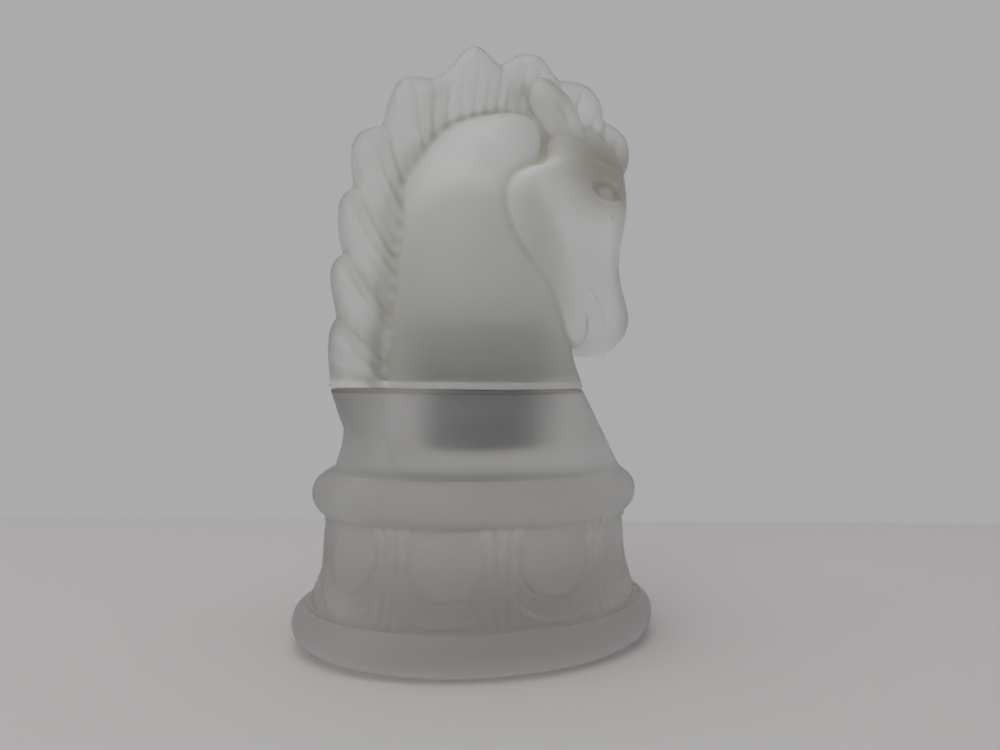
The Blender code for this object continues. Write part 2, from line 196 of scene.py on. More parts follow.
MANE_STUB = (
    # height, half-length, half-width, middle
    (44.0, 24.35, 23.0, -16.65), (50.5, 26.25, 21.0, -16.65), (57.0, 24.35, 19.0, -16.65),
    (61.5, 23.95, 17.0, -16.65), (66.5, 25.95, 14.6, -16.65), (73.0, 28.15, 12.0, -16.65),
)


# The frieze: nine medallions hung with swags, and a column of three flutes between each pair.
# Its parts are modelled once, flat, and laid round the drum's oval.
PANELS = 9
PANEL_WIDTH = 28.5
SWAGS = (
    # radius across, radius down, thickness
    (10.4, 9.4, 0.65), (12.3, 11.3, 0.65), (14.2, 13.1, 0.65),
)
SWAG_MEAN_RADIUS, SWAG_HEIGHT, SWAG_TRIM, SWAG_PROUD = 12, 27, 2, 0.3
FLUTE_SPACING = 2.9


def half_swag(radius_across, radius_down, thickness):
    """One fold of drapery: the lower half of an upright oval ring."""
    bpy.ops.mesh.primitive_torus_add(
        major_segments=48, minor_segments=12, major_radius=MM,
        minor_radius=thickness * MM / SWAG_MEAN_RADIUS, rotation=(math.pi / 2, 0, 0),
    )
    fold = bpy.context.object
    fold.scale = (radius_across, radius_down, SWAG_MEAN_RADIUS)
    bpy.ops.object.transform_apply(location=True, rotation=True, scale=True)
    bpy.ops.object.mode_set(mode="EDIT")
    bpy.ops.mesh.select_all(action="SELECT")
    bpy.ops.mesh.bisect(
        plane_co=(0, 0, -SWAG_TRIM * MM), plane_no=(0, 0, 1), clear_outer=True, use_fill=True,
    )
    bpy.ops.mesh.select_all(action="SELECT")
    bpy.ops.transform.translate(value=(0, SWAG_PROUD * MM, SWAG_HEIGHT * MM))
    bpy.ops.object.mode_set(mode="OBJECT")
    return fold


def frieze_panel():
    parts = [ball("medallion", (0, 0, 27.4), (9.8, 1.2, 8.2), segments=48)]
    for swag in SWAGS:
        parts.append(half_swag(*swag))
    for offset in (-FLUTE_SPACING, 0, FLUTE_SPACING):
        x = PANEL_WIDTH / 2 + offset
        parts.append(ball("flute", (x, 0, 24.0), (1.1, 0.9, 12.5), segments=24))
        bud_place = (x * 0.99 + offset * 0.35, 0, 35.9)
        parts.append(ball("bud", bud_place, (1.4, 1.2, 1.0), segments=24))
    return join("frieze_panel", parts)


def lay_round_drum(panel, turn):
    """Bends a flat panel round the drum's oval: x runs round it and y stands out of it."""
    for vertex in panel.data.vertices:
        across, out, height = vertex.co / MM
        t = turn + across / PANEL_WIDTH * 2 * math.pi / PANELS
        half = drum_half(height)
        vertex.co = Vector((
            (half + out) * math.cos(t), (half * OVAL_RATIO + out) * math.sin(t), height,
        )) * MM


flat_panel = frieze_panel()
frieze = []
for number in range(PANELS):
    panel = flat_panel.copy()
    panel.data = flat_panel.data.copy()
    bpy.context.collection.objects.link(panel)
    lay_round_drum(panel, number * 2 * math.pi / PANELS)
    frieze.append(panel)
bpy.data.objects.remove(flat_panel, do_unlink=True)

base = join("base_glass_etched", [base_stack(), drawn_up("mane_stub", MANE_STUB, 64)] + frieze)
finish_with(base, "REMESH", mode="VOXEL", voxel_size=0.66 * MM)
finish_with(base, "SMOOTH", factor=0.5, iterations=2)

RIM_HEIGHT, RIM_WALL, RIM_GAP, HEAD_WALL = 2.0, 1.6, 0.6, 4.8
CAVITY_HALF_WIDTH = 22.8
rim_length = NECK_HALF_LENGTH - HEAD_WALL - RIM_GAP
rim_width = CAVITY_HALF_WIDTH - RIM_GAP
rim = drawn_up("rim", [
    (SEAT_HEIGHT - 2, rim_length, rim_width, NECK_SHIFT),
    (SEAT_HEIGHT + RIM_HEIGHT - 0.4, rim_length, rim_width, NECK_SHIFT),
    (SEAT_HEIGHT + RIM_HEIGHT, rim_length - 0.4, rim_width - 0.4, NECK_SHIFT),
], 96)
finish_with(base, "BOOLEAN", operation="UNION", solver="EXACT", object=rim)
bpy.data.objects.remove(rim, do_unlink=True)

hollow_half, hollow_roof, hollow_fillet = 39.6, 46.0, 4.0
hollow_levels = [(-1, hollow_half), (hollow_roof - hollow_fillet, hollow_half - 3)]
for quarter in range(1, 7):
    turn = math.pi / 2 * quarter / 6
    hollow_levels.append((
        hollow_roof - hollow_fillet + hollow_fillet * math.sin(turn),
        hollow_half - 3 - hollow_fillet * (1 - math.cos(turn)),
    ))
narrower = hollow_half - (DRUM_WAIST_HALF * OVAL_RATIO - 5)
underside_hollow = drawn_up(
    "underside_hollow", [(z, half, half - narrower, 0) for z, half in hollow_levels], 128
)
rim_dish = drawn_up("rim_dish", [
    (SEAT_HEIGHT, rim_length - RIM_WALL, rim_width - RIM_WALL, NECK_SHIFT),
    (SEAT_HEIGHT + 4, rim_length - RIM_WALL, rim_width - RIM_WALL, NECK_SHIFT),
], 96)
WELL_RADIUS, WELL_FLOOR = 19.7, 55.0
candle_well = drawn_up("candle_well", [
    (WELL_FLOOR, WELL_RADIUS - 1.0, WELL_RADIUS - 1.0, 0),
    (WELL_FLOOR + 1.0, WELL_RADIUS, WELL_RADIUS, 0),
    (SEAT_HEIGHT - 0.6, WELL_RADIUS, WELL_RADIUS, 0),
    (SEAT_HEIGHT + 0.4, WELL_RADIUS + 1.0, WELL_RADIUS + 1.0, 0),
    (SEAT_HEIGHT + 0.5, WELL_RADIUS + 1.0, WELL_RADIUS + 1.0, 0),
], 96)
cut(base, [underside_hollow, rim_dish, candle_well])


def smooth_by_angle(piece, degrees=35):
    bpy.ops.object.select_all(action="DESELECT")
    piece.select_set(True)
    bpy.context.view_layer.objects.active = piece
    bpy.ops.object.shade_smooth_by_angle(angle=math.radians(degrees))


CREASE_SHADE_OLIVE = (0.60, 0.58, 0.47)  # painted shade: the olive cast put into the creases


def mark_relief(piece, passes=16):
    """Stores on each point how far it stands proud of its softened surroundings, in mm."""
    mesh = piece.data
    count = len(mesh.vertices)
    place = np.empty(count * 3)
    mesh.vertices.foreach_get("co", place)
    normals = np.empty(count * 3)
    mesh.vertices.foreach_get("normal", normals)
    ends = np.empty(len(mesh.edges) * 2, dtype=np.int64)
    mesh.edges.foreach_get("vertices", ends)
    place, normals, ends = place.reshape(-1, 3), normals.reshape(-1, 3), ends.reshape(-1, 2)
    there = np.concatenate((ends[:, 0], ends[:, 1]))
    here = np.concatenate((ends[:, 1], ends[:, 0]))
    neighbours = np.bincount(here, minlength=count)[:, None]
    soft = place.copy()
    for _ in range(passes):
        total = [np.bincount(here, soft[there, axis], count) for axis in range(3)]
        soft = np.stack(total, axis=1) / neighbours
    proud = ((place - soft) * normals).sum(axis=1) / MM
    relief = mesh.attributes.new("relief", "FLOAT", "POINT")
    relief.data.foreach_set("value", proud.astype(np.float32))


def etched_glass(name, light, dark, clearness, roughness, crease_shade, painted_seat_band, painted_shade, veil):
    """Clear glass with a satin acid-etched skin: fine grain, faint clouds, and painted olive shade
    in the creases.

    The band of heights next to the seat has its own tone and clearness where the two rims meet;
    its tone is painted light, a highlight on the head's foot and a shade on the base's top edge.
    A patch of painted shade, a middle and three radii in mm, darkens the glass's colour there, and
    the veil is a place where the etching is deeper and the glass less clear.
    """
    material = bpy.data.materials.new(name)
    material.use_nodes = True
    tree = material.node_tree
    nodes, links = tree.nodes, tree.links
    shader = nodes["Principled BSDF"]
    shader.inputs["IOR"].default_value = 1.46
    place = nodes.new("ShaderNodeTexCoord")

    def noise(scale, detail):
        texture = nodes.new("ShaderNodeTexNoise")
        texture.inputs["Scale"].default_value = scale
        texture.inputs["Detail"].default_value = detail
        links.new(place.outputs["Object"], texture.inputs["Vector"])
        return texture.outputs["Fac"]

    def spread(value, low, high, lowest, highest):
        ramp = nodes.new("ShaderNodeMapRange")
        for socket, number in zip(ramp.inputs[1:5], (low, high, lowest, highest)):
            socket.default_value = number
        links.new(value, ramp.inputs["Value"])
        return ramp.outputs["Result"]

    def tinted(under, colour, amount):
        mix = nodes.new("ShaderNodeMix")
        mix.data_type = "RGBA"
        mix.inputs["B"].default_value = (*colour, 1)
        links.new(amount, mix.inputs["Factor"])
        if isinstance(under, tuple):
            mix.inputs["A"].default_value = (*under, 1)
        else:
            links.new(under, mix.inputs["A"])
        return mix.outputs["Result"]

    colour = tinted(dark, light, noise(90, 3))
    relief = nodes.new("ShaderNodeAttribute")
    relief.attribute_name = "relief"
    # painted shade: an olive tint in the creases, where points lie below their softened
    # surroundings
    colour = tinted(colour, CREASE_SHADE_OLIVE, spread(relief.outputs["Fac"], -0.02, -0.45, 0, crease_shade))
    height = nodes.new("ShaderNodeSeparateXYZ")
    links.new(place.outputs["Object"], height.inputs["Vector"])
    # painted light at the seat: a tone band where the rims meet, a highlight on the head and a
    # shade on the base
    low, high, painted_seat_tone, band_clearness = painted_seat_band
    middle, reach = (low + high) / 2 * MM, (high - low) / 2 * MM
    nearness = nodes.new("ShaderNodeMath")
    nearness.operation = "COMPARE"
    nearness.inputs[1].default_value = middle
    nearness.inputs[2].default_value = reach
    links.new(height.outputs["Z"], nearness.inputs[0])
    colour = tinted(colour, painted_seat_tone, nearness.outputs["Value"])

    def within(centre, radii, inner, outer, most):
        """How far a point lies inside an ellipsoid in mm, from 0 outside it to the most."""
        nearby = nodes.new("ShaderNodeMapping")
        nearby.vector_type = "TEXTURE"
        nearby.inputs["Location"].default_value = Vector(centre) * MM
        nearby.inputs["Scale"].default_value = Vector(radii) * MM
        links.new(place.outputs["Object"], nearby.inputs["Vector"])
        far = nodes.new("ShaderNodeVectorMath")
        far.operation = "LENGTH"
        links.new(nearby.outputs["Vector"], far.inputs[0])
        return spread(far.outputs["Value"], outer, inner, 0, most)

    def blend(under, number, amount):
        mix = nodes.new("ShaderNodeMix")
        mix.data_type = "FLOAT"
        mix.inputs["B"].default_value = number
        links.new(amount, mix.inputs["Factor"])
        if isinstance(under, float):
            mix.inputs["A"].default_value = under
        else:
            links.new(under, mix.inputs["A"])
        return mix.outputs["Result"]

    # painted shade: a patch of darker glass colour round the given place
    shade_centre, shade_radii, shade_colour = painted_shade
    colour = tinted(colour, shade_colour, within(shade_centre, shade_radii, 0.45, 1.15, 0.85))
    veil_centre, veil_radii, veil_clearness = veil
    clear = blend(clearness, veil_clearness, within(veil_centre, veil_radii, 0.6, 1.1, 1))
    clear = blend(clear, band_clearness, nearness.outputs["Value"])
    links.new(clear, shader.inputs["Transmission Weight"])
    links.new(colour, shader.inputs["Base Color"])

    satin = spread(noise(260, 4), 0.3, 0.7, roughness - 0.05, roughness + 0.05)
    links.new(satin, shader.inputs["Roughness"])
    grain = nodes.new("ShaderNodeBump")
    grain.inputs["Strength"].default_value = 0.12
    grain.inputs["Distance"].default_value = 0.15 * MM
    links.new(noise(1800, 3), grain.inputs["Height"])
    links.new(grain.outputs["Normal"], shader.inputs["Normal"])

    tint = nodes.new("ShaderNodeVolumeAbsorption")
    tint.inputs["Color"].default_value = (0.86, 0.90, 0.87, 1)
    tint.inputs["Density"].default_value = 4
    links.new(tint.outputs["Volume"], nodes["Material Output"].inputs["Volume"])
    return material


def hand_over(piece, material, body, slot, *nodes):
    """Gives a finished piece its material and its body, and hides the CAD nodes it stands for.
    The slot is not used.
    """
    piece.data.materials.clear()
    piece.data.materials.append(material)
    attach(piece, body)
    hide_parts(*nodes)


smooth_by_angle(base)
mark_relief(base)
# painted shade: the base's colours are set a little darker and warmer than the head's
base_glass = etched_glass(
    "base_etched_glass", light=(0.975, 0.97, 0.96), dark=(0.94, 0.935, 0.925),
    clearness=0.93, roughness=0.50, crease_shade=0.5,
    # painted shade: a dark band along the base's top edge at the seat
    painted_seat_band=(SEAT_HEIGHT - 1.2, SEAT_HEIGHT + 0.1, (0.60, 0.56, 0.52), 0.93),
    # painted shade: the glass darker and warmer towards the foot
    painted_shade=((0, 0, 17), (66, 60, 17), (0.76, 0.70, 0.68)),
    veil=((0, 0, 4), (80, 80, 8), 0.90),
)
hand_over(base, base_glass, "base", "base_frosted_glass", "base_glass")


# Head: the shade, a second pressing in the same etched glass. A bowed horse's head with a crest
# of nine locks is hollow from below over the flame, and solid in the mane, brow and muzzle.
# Heights are millimetres above the seat here, and lengths run forward from the axis.
NECK_LEVELS = (
    # height, half-length, half-width, middle
    (-4.0, 32.4, 27.6, 0.0), (0.0, 32.3, 27.6, 0.1), (12.0, 29.8, 26.8, -1.7),
    (27.0, 29.3, 26.2, -1.3), (44.0, 27.7, 24.0, -1.3), (56.0, 25.9, 22.0, -2.0),
    (63.0, 22.9, 20.8, -1.7), (69.0, 19.4, 19.8, -0.9), (74.3, 16.9, 17.6, 1.6),
    (77.5, 14.0, 15.2, 4.0), (79.8, 9.8, 12.0, 6.4), (81.2, 6.0, 8.0, 7.4), (82.0, 2.5, 3.5, 8.0),
)
FACE_LEVELS = (
    # height, rear edge, half-width there, front edge, half-width there
    (9.6, 35.5, 5.0, 39.0, 4.0), (10.8, 32.0, 8.5, 42.0, 5.5), (12.6, 28.0, 12.0, 44.6, 6.6),
    (13.8, 22.0, 16.8, 46.2, 7.2), (16.5, 16.5, 20.4, 48.2, 8.0), (21.0, 13.2, 22.4, 49.6, 8.5),
    (26.0, 9.5, 23.8, 48.8, 8.5), (32.0, 5.5, 25.4, 47.0, 8.0), (39.0, 0.0, 26.6, 46.2, 8.0),
    (47.0, -3.2, 27.0, 47.0, 9.0), (54.0, -3.4, 26.6, 48.0, 10.0), (59.0, -1.4, 25.4, 47.7, 11.0),
    (62.5, 3.5, 23.6, 47.2, 11.0), (65.0, 10.5, 21.8, 46.6, 11.0), (68.0, 14.5, 19.5, 45.6, 10.5),
    (73.0, 17.0, 15.5, 43.0, 9.5), (78.0, 20.5, 11.5, 38.5, 8.0), (82.0, 24.5, 6.5, 33.0, 5.0),
)
MANE_LOCKS = (
    # strands, and the lock's edge from valley to valley, from the nape up to the forelock
    (4, ((-46.0, -6.0), (-45.6, -1.0), (-45.0, 3.2), (-45.5, 9.5), (-45.4, 14.5), (-44.6, 17.6),
         (-43.0, 19.9))),
    (4, ((-43.0, 19.9), (-43.6, 23.0), (-44.6, 27.7), (-45.0, 33.0), (-43.6, 36.2),
         (-41.0, 38.2))),
    (4, ((-41.0, 38.2), (-42.0, 41.5), (-42.8, 45.0), (-42.9, 51.0), (-41.6, 54.6),
         (-38.6, 56.8))),
    (4, ((-38.6, 56.8), (-38.6, 60.0), (-39.1, 65.0), (-39.0, 69.6), (-36.8, 72.8),
         (-33.5, 74.2), (-30.0, 75.2))),
    (4, ((-30.0, 75.2), (-29.4, 79.0), (-28.2, 83.5), (-26.4, 87.6), (-24.0, 89.9),
         (-20.0, 90.6), (-15.6, 90.4))),
    (5, ((-15.6, 90.4), (-12.6, 92.2), (-9.4, 95.2), (-6.4, 99.4), (-3.1, 101.8),
         (-0.6, 101.7), (1.6, 100.2), (4.0, 98.3), (5.9, 97.2))),
    (5, ((5.9, 97.2), (7.8, 98.6), (10.4, 100.6), (14.7, 102.3), (18.2, 102.1),
         (20.8, 100.6), (22.8, 98.0), (25.2, 95.7))),
    (3, ((25.2, 95.7), (28.8, 95.9), (33.0, 95.7), (36.4, 94.6), (39.4, 91.8), (40.8, 88.4),
         (41.4, 84.6))),
    (3, ((41.4, 84.6), (44.6, 83.7), (47.9, 81.8), (50.1, 79.2), (50.8, 76.0), (50.4, 71.5))),
)
MANE_FEET = (
    # where each valley's line ends inside the neck, and how far the strands bow on the way
    (-20, -24, 0.0), (-20, 0, 1.5), (-20, 11, 2.5), (-20, 27, 2.5), (-18, 42, 2.5),
    (-17, 58, 1.5), (-1, 62, 0.8), (16, 64, 0.0), (31, 62, 0.0), (40, 56, 0.0),
)
MANE_EDGE, MANE_ROOT = 4.3, 9.5
GROOVE = 0.29


def closed_skin(name, rings):
    """Closed skin over a stack of rings with equal counts, in mm above the seat."""
    mesh = bpy.data.meshes.new(name)
    bm = bmesh.new()
    lift = Vector((0, 0, SEAT_HEIGHT))
    stack = [[bm.verts.new((point + lift) * MM) for point in ring] for ring in rings]
    for lower, upper in zip(stack, stack[1:]):
        for i in range(len(lower)):
            j = (i + 1) % len(lower)
            bm.faces.new((lower[i], lower[j], upper[j], upper[i]))
    bm.faces.new(list(reversed(stack[0])))
    bm.faces.new(stack[-1])
    bmesh.ops.recalc_face_normals(bm, faces=bm.faces)
    bm.to_mesh(mesh)
    bm.free()
    piece = bpy.data.objects.new(name, mesh)
    bpy.context.collection.objects.link(piece)
    return piece


def neck():
    levels = [
        (SEAT_HEIGHT + height, length, width, middle)
        for height, length, width, middle in smooth_rows(NECK_LEVELS, 6)
    ]
    return drawn_up("neck", levels, 96)


def face():
    """Broad flat jaws that narrow to the nose: a rounded wedge at every height."""
    rings = []
    for height, rear, rear_half, front, front_half in smooth_rows(FACE_LEVELS, 5):
        ring = []
        for i in range(72):
            turn = 2 * math.pi * i / 72
            along, across = math.cos(turn), math.sin(turn)
            square = 2 / (4.5 if along > 0 else 6.0)
            forward = (1 + math.copysign(abs(along) ** square, along)) / 2
            taper = forward * forward * (3 - 2 * forward)
            half = rear_half + (front_half - rear_half) * taper
            y = half * math.copysign(abs(across) ** square, across)
            ring.append(Vector((rear + (front - rear) * forward, y, height)))
        rings.append(ring)
    return closed_skin("face", rings)


def strand_ripple(u, strands):
    """Share of the mane's thickness at u across a lock: rounded strands, sharp grooves."""
    groove = 1 - abs(math.sin(math.pi * strands * u)) ** 0.45
    number = round(u * strands)
    depth = 1.25 if number in (0, strands) else (0.75, 1.0)[number % 2]
    swell = 0.10 * math.sin(math.pi * u)
    return 1 + swell - GROOVE * depth * groove


def mane_section(root, outer, bow, ripple, sides=56):
    """Section of the mane: flat sides that thin outwards, and a round edge."""
    out = outer - root
    length = out.length
    across = Vector((-out.z, 0, out.x)).normalized() * bow
    ring = []
    for side in range(sides):
        turn = 2 * math.pi * side / sides
        share = (1 + math.cos(turn)) / 2
        half = MANE_ROOT + (MANE_EDGE - MANE_ROOT) * share
        reach = min(1, (1 - share) * length / half)
        half *= math.sqrt(max(0, 1 - (1 - reach) ** 2))
        fade = min(1, (1 - share) * length / 4)
        half *= 1 + (ripple - 1) * fade
        shift = across * math.sin(math.pi * share)
        y = math.copysign(half, math.sin(turn)) if 0 < side < sides else 0
        ring.append(root + out * share + shift + Vector((0, y, 0)))
    return ring


def mane():
    """The crest, skinned over sections that fan out from the neck and ripple into strands."""
    feet = [Vector((x, 0, z)) for x, z, _ in MANE_FEET]
    rings = []
    for k, (strands, outline) in enumerate(MANE_LOCKS):
        edge = smooth_rows([(x, 0, z) for x, z in outline], 7)[:-1]
        for i, outer in enumerate(edge):
            u = i / len(edge)
            bow = MANE_FEET[k][2] * (1 - u) + MANE_FEET[k + 1][2] * u
            root = feet[k].lerp(feet[k + 1], u)
            rings.append(mane_section(root, outer, bow, strand_ripple(u, strands)))
    return closed_skin("mane", rings)


def tube(name, points, radii):
    """A smooth tapered roll of glass through points, in mm above the seat."""
    curve = bpy.data.curves.new(name, "CURVE")
    curve.dimensions = "3D"
    curve.bevel_depth = MM
    curve.bevel_resolution = 4
    curve.use_fill_caps = True
    spline = curve.splines.new("NURBS")
    spline.points.add(len(points) - 1)
    spline.use_endpoint_u = True
    for slot, (x, y, z), radius in zip(spline.points, points, radii):
        slot.co = (x * MM, y * MM, (z + SEAT_HEIGHT) * MM, 1)
        slot.radius = radius
    roll = bpy.data.objects.new(name, curve)
    bpy.context.collection.objects.link(roll)
    bpy.ops.object.select_all(action="DESELECT")
    roll.select_set(True)
    bpy.context.view_layer.objects.active = roll
    bpy.ops.object.convert(target="MESH")
    return bpy.context.object


def above_seat(x, y, z):
    return (x, y, z + SEAT_HEIGHT)


head_parts = [neck(), face(), mane()]
hollows = []
eyeballs = []
for side in (-1, 1):
    head_parts += [
        ball("ear", above_seat(20.8, side * 9.6, 81.5), (6.6, 4.4, 12.8), -35),
        ball("brow", above_seat(35.5, side * 11.2, 65.2), (9.0, 4.0, 3.0), 12, -side * 18),
        tube("lip", [
            (29, side * 16.2, 28), (33.5, side * 14.2, 23), (35.5, side * 11.8, 18),
            (33.5, side * 7.6, 12.8),
        ], (0.6, 1.8, 2.2, 1.2)),
    ]
    hollows += [
        ball("ear_hollow", above_seat(20.4, side * 16.2, 82), (3.6, 3.4, 9.6), -35),
        ball("eye_hollow", above_seat(37.6, side * 13.6, 59.6), (9.0, 3.4, 3.3), 9, -side * 21),
        ball("tear_hollow", above_seat(40.6, side * 12.2, 52), (2.6, 2.4, 2.8)),
        ball("nostril", above_seat(44.2, side * 10.8, 19.0), (3.6, 2.4, 2.6), 30, -side * 30),
        tube("jaw_groove", [
            (25, side * 19.2, 27), (28.2, side * 18.0, 22), (29.2, side * 17.0, 16),
            (28.4, side * 14.2, 10.5), (29.0, 0, 9.8),
        ], (0.5, 1.3, 1.7, 2.0, 2.0)),
    ]
    eyeballs.append(ball(
        "eyeball", above_seat(37.0, side * 9.6, 59.6), (3.6, 2.6, 2.4), 9, -side * 21,
    ))
head = join("head_glass_etched", head_parts)
finish_with(head, "REMESH", mode="VOXEL", voxel_size=0.7 * MM)
cut(head, hollows)
head = join("head_glass_etched", [head] + eyeballs)
finish_with(head, "REMESH", mode="VOXEL", voxel_size=0.66 * MM)
finish_with(head, "SMOOTH", factor=0.5, iterations=3)

SEAT_GAP = 0.3
SEAT_CUT_DEPTH, SEAT_CUT_HALF = 40, 100
CAVITY_HEIGHT = 66.0
CAVITY_LEVELS = (
    # share of the hollow's height, half-length and half-width as shares of its mouth's, middle
    (-0.15, 1.00, 1.00, -1.0), (0.00, 1.00, 1.00, -1.0), (0.30, 0.93, 0.97, -1.8),
    (0.58, 0.84, 0.91, -2.2), (0.76, 0.70, 0.74, -2.4), (0.88, 0.52, 0.54, -2.4),
    (0.96, 0.32, 0.33, -2.2), (1.00, 0.12, 0.12, -2.0),
)
cavity_levels = []
for share, length, width, middle in smooth_rows(CAVITY_LEVELS, 6):
    cavity_levels.append((
        SEAT_HEIGHT + SEAT_GAP + share * CAVITY_HEIGHT,
        (NECK_HALF_LENGTH - HEAD_WALL) * length, CAVITY_HALF_WIDTH * width, middle,
    ))
head_cavity = drawn_up("head_cavity", cavity_levels, 96)
seat_cut = drawn_up("seat_cut", [
    (SEAT_HEIGHT - SEAT_CUT_DEPTH, SEAT_CUT_HALF, SEAT_CUT_HALF, 0),
    (SEAT_HEIGHT + SEAT_GAP, SEAT_CUT_HALF, SEAT_CUT_HALF, 0),
], 32)
cut(head, [seat_cut, head_cavity])
smooth_by_angle(head)
mark_relief(head)
head_glass = etched_glass(
    "head_etched_glass", light=(0.995, 1.0, 0.99), dark=(0.965, 0.975, 0.96),
    clearness=0.88, roughness=0.52, crease_shade=0.95,
    # painted highlight: a light band along the head's foot
    painted_seat_band=(SEAT_HEIGHT, SEAT_HEIGHT + 2.2, (1.0, 1.0, 0.97), 0.68),
    # painted shade: the glass darker over the brow and forehead
    painted_shade=((35, 0, SEAT_HEIGHT + 67), (22, 30, 13), (0.42, 0.39, 0.28)),
    veil=((0, 0, SEAT_HEIGHT + 38), (44, 46, 42), 0.64),
)
hand_over(head, head_glass, "head", "head_frosted_glass", "horse_head_shade")


# Candle cup: a round cup with a rolled lip that holds the wax, deep-drawn from thin aluminium
# sheet. It stands loose in the base's well and lifts straight out.
CANDLE_FOOT = 55.3
CUP_RADIUS, CUP_HEIGHT, CUP_WALL, CUP_LIP = 19.0, 37.0, 0.8, 0.7


def turned(name, profile, sides=96, hollow=False):
    """A round piece from (radius, height) points measured from the cup's underside."""
    return drawn_up(name, [(CANDLE_FOOT + z, r, r, 0) for r, z in profile], sides, hollow)


cup_profile = [(CUP_RADIUS - 3.0, 0)]
for step in range(7):
    turn = math.radians(15 * step)
    cup_profile.append((
        CUP_RADIUS - 1.5 * (1 - math.sin(turn)), 1.5 * (1 - math.cos(turn)),
    ))
cup_profile.append((CUP_RADIUS, CUP_HEIGHT - 2 * CUP_LIP))
for step in range(9):
    turn = math.radians(-90 + 22.5 * step)
    cup_profile.append((
        CUP_RADIUS + CUP_LIP * math.cos(turn),
        CUP_HEIGHT - CUP_LIP + CUP_LIP * math.sin(turn),
    ))
cup_profile += [
    (CUP_RADIUS - CUP_WALL + 0.2, CUP_HEIGHT - 0.05),
    (CUP_RADIUS - CUP_WALL, CUP_HEIGHT - 0.3),
    (CUP_RADIUS - CUP_WALL, CUP_WALL + 0.8),
    (CUP_RADIUS - CUP_WALL - 0.8, CUP_WALL),
]
cup = turned("candle_cup_drawn", cup_profile)
smooth_by_angle(cup)


def metal(name, bright, dull, roughness, lines):
    """Worked metal: faint draw lines round the axis, and handled, slightly dulled patches."""
    material = bpy.data.materials.new(name)
    material.use_nodes = True
    nodes, links = material.node_tree.nodes, material.node_tree.links
    shader = nodes["Principled BSDF"]
    shader.inputs["Metallic"].default_value = 1.0
    place = nodes.new("ShaderNodeTexCoord")
    stretch = nodes.new("ShaderNodeMapping")
    stretch.inputs["Scale"].default_value = (1, 1, lines)
    links.new(place.outputs["Object"], stretch.inputs["Vector"])
    drawn = nodes.new("ShaderNodeTexNoise")
    drawn.inputs["Scale"].default_value = 60
    drawn.inputs["Detail"].default_value = 4
    links.new(stretch.outputs["Vector"], drawn.inputs["Vector"])
    patches = nodes.new("ShaderNodeTexNoise")
    patches.inputs["Scale"].default_value = 140
    links.new(place.outputs["Object"], patches.inputs["Vector"])
    colour = nodes.new("ShaderNodeMix")
    colour.data_type = "RGBA"
    colour.inputs["A"].default_value = (*dull, 1)
    colour.inputs["B"].default_value = (*bright, 1)
    links.new(patches.outputs["Fac"], colour.inputs["Factor"])
    links.new(colour.outputs["Result"], shader.inputs["Base Color"])
    wear = nodes.new("ShaderNodeMapRange")
    wear.inputs["To Min"].default_value = roughness - 0.08
    wear.inputs["To Max"].default_value = roughness + 0.10
    links.new(patches.outputs["Fac"], wear.inputs["Value"])
    links.new(wear.outputs["Result"], shader.inputs["Roughness"])
    bump = nodes.new("ShaderNodeBump")
    bump.inputs["Strength"].default_value = 0.15
    bump.inputs["Distance"].default_value = 0.05 * MM
    links.new(drawn.outputs["Fac"], bump.inputs["Height"])
    links.new(bump.outputs["Normal"], shader.inputs["Normal"])
    return material


# painted shade: the cup's colour is set far darker than bare aluminium, for the dark it reflects
# inside the light
cup_metal = metal(
    "cup_aluminium_painted_dark", bright=(0.28, 0.285, 0.32), dull=(0.22, 0.225, 0.26), roughness=0.38, lines=30,
)
hand_over(cup, cup_metal, "candle", "cup_metal", "candle_cup")


# Wick foot: a disc of tinned steel, stamped with a collar that is crimped round the wick.
# It holds the wick upright on the cup's floor.
WICK_RADIUS = 0.9
foot_floor = CUP_WALL + 0.3
foot_bore = WICK_RADIUS + 0.3
foot = turned("wick_foot_tin", [
    (foot_bore, foot_floor + 0.1), (foot_bore + 0.1, foot_floor), (6.3, foot_floor),
    (6.5, foot_floor + 0.2), (6.5, foot_floor + 0.6), (6.3, foot_floor + 0.8),
    (foot_bore + 1.1, foot_floor + 0.8), (foot_bore + 0.6, foot_floor + 1.2),
    (foot_bore + 0.6, foot_floor + 3.7), (foot_bore + 0.3, foot_floor + 4.0),
    (foot_bore, foot_floor + 3.9), (foot_bore, foot_floor + 0.1),
], 48, hollow=True)
smooth_by_angle(foot)
tin = metal("foot_tin", bright=(0.62, 0.61, 0.60), dull=(0.50, 0.49, 0.48), roughness=0.42, lines=8)
hand_over(foot, tin, "candle", "sustainer_tin", "wick_sustainer")


# Wax: poured white paraffin that fills the cup to 5 mm below its lip. It climbs a little at the
# wall and at the wick, sinks between them, and is cast round the wick's foot.
WAX_LEVEL = 32.0
WAX_RADIUS = CUP_RADIUS - CUP_WALL - 0.3
plate, plate_top = 6.8, foot_floor + 1.1
collar, collar_top = foot_bore + 0.9, foot_floor + 4.3
wax = turned("candle_wax_poured", [
    (plate, foot_floor), (WAX_RADIUS - 0.8, foot_floor), (WAX_RADIUS, foot_floor + 0.8),
    (WAX_RADIUS, WAX_LEVEL), (WAX_RADIUS - 0.4, WAX_LEVEL - 0.35),
    (WAX_RADIUS - 1.4, WAX_LEVEL - 0.8), (WAX_RADIUS - 4, WAX_LEVEL - 1.1),
    (8, WAX_LEVEL - 1.2), (4, WAX_LEVEL - 1.5), (2, WAX_LEVEL - 1.7),
    (foot_bore, WAX_LEVEL - 1.2), (foot_bore, collar_top), (collar, collar_top),
    (collar, plate_top), (plate, plate_top), (plate, foot_floor),
], 96, hollow=True)
smooth_by_angle(wax)


